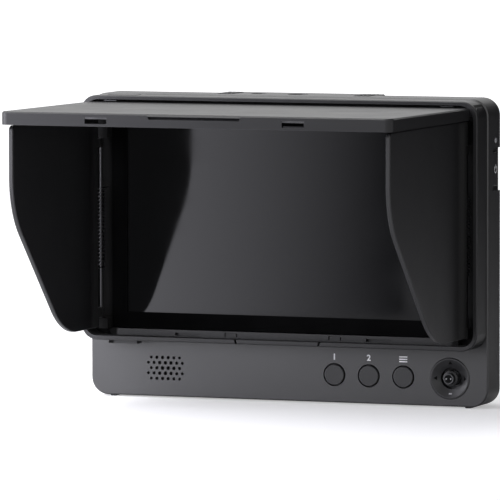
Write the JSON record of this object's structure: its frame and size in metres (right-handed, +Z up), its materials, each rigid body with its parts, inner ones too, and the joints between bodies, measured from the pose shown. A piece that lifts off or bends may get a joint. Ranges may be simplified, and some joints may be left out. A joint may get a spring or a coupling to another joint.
{
  "type": "camera field monitor with folding sun hood",
  "caption": "Flat camera-top video monitor with a clip-on sun hood: a tilting lid, two sprung folding side flaps, push buttons, a small joystick, side sockets and tripod sockets.",
  "frame": {"origin": "centre of the tripod socket's mouth in the bottom face", "axes": "+X to the right of the screen, +Y to the back, +Z up towards the top tripod socket"},
  "size_m": [0.1286, 0.0976, 0.0932],
  "materials": {
    "black_shell": "satin",
    "panel_plastic": "satin",
    "hood_plastic": "satin",
    "bezel_black": "gloss",
    "screen_glass": "gloss",
    "panel_stack": "satin",
    "circuit_board": "satin",
    "bright_steel": "satin",
    "spring_steel": "satin",
    "button_plastic": "satin",
    "grip_rubber": "matt",
    "socket_metal": "satin",
    "lamp_lens": "gloss",
    "contact_brass": "satin"
  },
  "bodies": {
    "monitor": {"front_shell": "panel_plastic", "rear_cover": "black_shell", "case_screws": "bright_steel", "bottom_feet": "grip_rubber", "top_grips": "grip_rubber", "display_bezel": "bezel_black", "cover_glass": "screen_glass", "lcd_panel": "panel_stack", "backlight_unit": "panel_stack", "main_board": "circuit_board", "key_board": "circuit_board", "key_switches": "button_plastic", "speaker_driver": "socket_metal", "joystick_ring": "button_plastic", "joystick_base": "button_plastic", "bottom_socket": "socket_metal", "top_socket_block": "socket_metal", "hdmi_socket": "bright_steel", "power_socket": "bright_steel", "headphone_jack": "hood_plastic", "power_switch": "button_plastic", "power_lamp": "lamp_lens", "battery_plate": "hood_plastic", "battery_contacts": "contact_brass", "latch_spring": "spring_steel"},
    "hood": {"hood_frame": "hood_plastic", "hood_clips": "hood_plastic", "lid_hinge_pins": "bright_steel", "lid_leaf_springs": "spring_steel", "left_flap_pin": "bright_steel", "right_flap_pin": "bright_steel", "left_flap_spring": "spring_steel", "right_flap_spring": "spring_steel"},
    "lid": {"hood_lid": "hood_plastic", "lid_catches": "bright_steel"},
    "left_flap": {"left_flap": "hood_plastic"},
    "right_flap": {"right_flap": "hood_plastic"},
    "button_1": {"button_1": "button_plastic"},
    "button_2": {"button_2": "button_plastic"},
    "button_menu": {"button_menu": "button_plastic"},
    "joystick_gimbal": {"joystick_gimbal": "button_plastic"},
    "joystick_stem": {"joystick_stem": "button_plastic"},
    "joystick_cap": {"joystick_cap": "button_plastic"},
    "power_slider": {"power_slider": "hood_plastic"},
    "battery_latch": {"battery_latch": "hood_plastic"}
  },
  "joints": [
    {"name": "hood_detach", "type": "slide", "parent": "monitor", "child": "hood", "axis": [0, -1, 0], "range_m": [0, 0.014]},
    {"name": "lid_tilt", "type": "hinge", "parent": "hood", "child": "lid", "pos_m": [0, -0.0167, 0.0889], "axis": [-1, 0, 0], "range_deg": [0, 8]},
    {"name": "right_flap_fold", "type": "hinge", "parent": "hood", "child": "right_flap", "pos_m": [0.05865, -0.013, 0.05], "axis": [0, 0, -1], "range_deg": [0, 90], "stiffness_Nm_per_rad": 0.002, "springref_deg": -28.65, "deforming": ["right_flap_spring"]},
    {"name": "left_flap_fold", "type": "hinge", "parent": "hood", "child": "left_flap", "pos_m": [-0.05865, -0.015, 0.05], "axis": [0, 0, 1], "range_deg": [0, 90], "stiffness_Nm_per_rad": 0.002, "springref_deg": -28.65, "deforming": ["left_flap_spring"]},
    {"name": "button_1_press", "type": "slide", "parent": "monitor", "child": "button_1", "axis": [0, 1, 0], "range_m": [0, 0.0005], "stiffness_N_per_m": 600, "springref_m": -0.0005},
    {"name": "button_2_press", "type": "slide", "parent": "monitor", "child": "button_2", "axis": [0, 1, 0], "range_m": [0, 0.0005], "stiffness_N_per_m": 600, "springref_m": -0.0005},
    {"name": "button_menu_press", "type": "slide", "parent": "monitor", "child": "button_menu", "axis": [0, 1, 0], "range_m": [0, 0.0005], "stiffness_N_per_m": 600, "springref_m": -0.0005},
    {"name": "joystick_tilt_x", "type": "hinge", "parent": "monitor", "child": "joystick_gimbal", "pos_m": [0.0522, -0.0049, 0.00845], "axis": [1, 0, 0], "range_deg": [-8, 8], "stiffness_Nm_per_rad": 0.02},
    {"name": "joystick_tilt_z", "type": "hinge", "parent": "joystick_gimbal", "child": "joystick_stem", "pos_m": [0.0522, -0.0049, 0.00845], "axis": [0, 0, 1], "range_deg": [-8, 8], "stiffness_Nm_per_rad": 0.02},
    {"name": "joystick_press", "type": "slide", "parent": "joystick_stem", "child": "joystick_cap", "axis": [0, 1, 0], "range_m": [0, 0.0004], "stiffness_N_per_m": 800, "springref_m": -0.0004},
    {"name": "power_slide", "type": "slide", "parent": "monitor", "child": "power_slider", "axis": [0, 0, 1], "range_m": [-0.001, 0.001], "stiffness_N_per_m": 300},
    {"name": "battery_latch_lift", "type": "slide", "parent": "monitor", "child": "battery_latch", "axis": [0, 0, 1], "range_m": [0, 0.0022], "stiffness_N_per_m": 250, "springref_m": -0.002, "deforming": ["latch_spring"]}
  ]
}
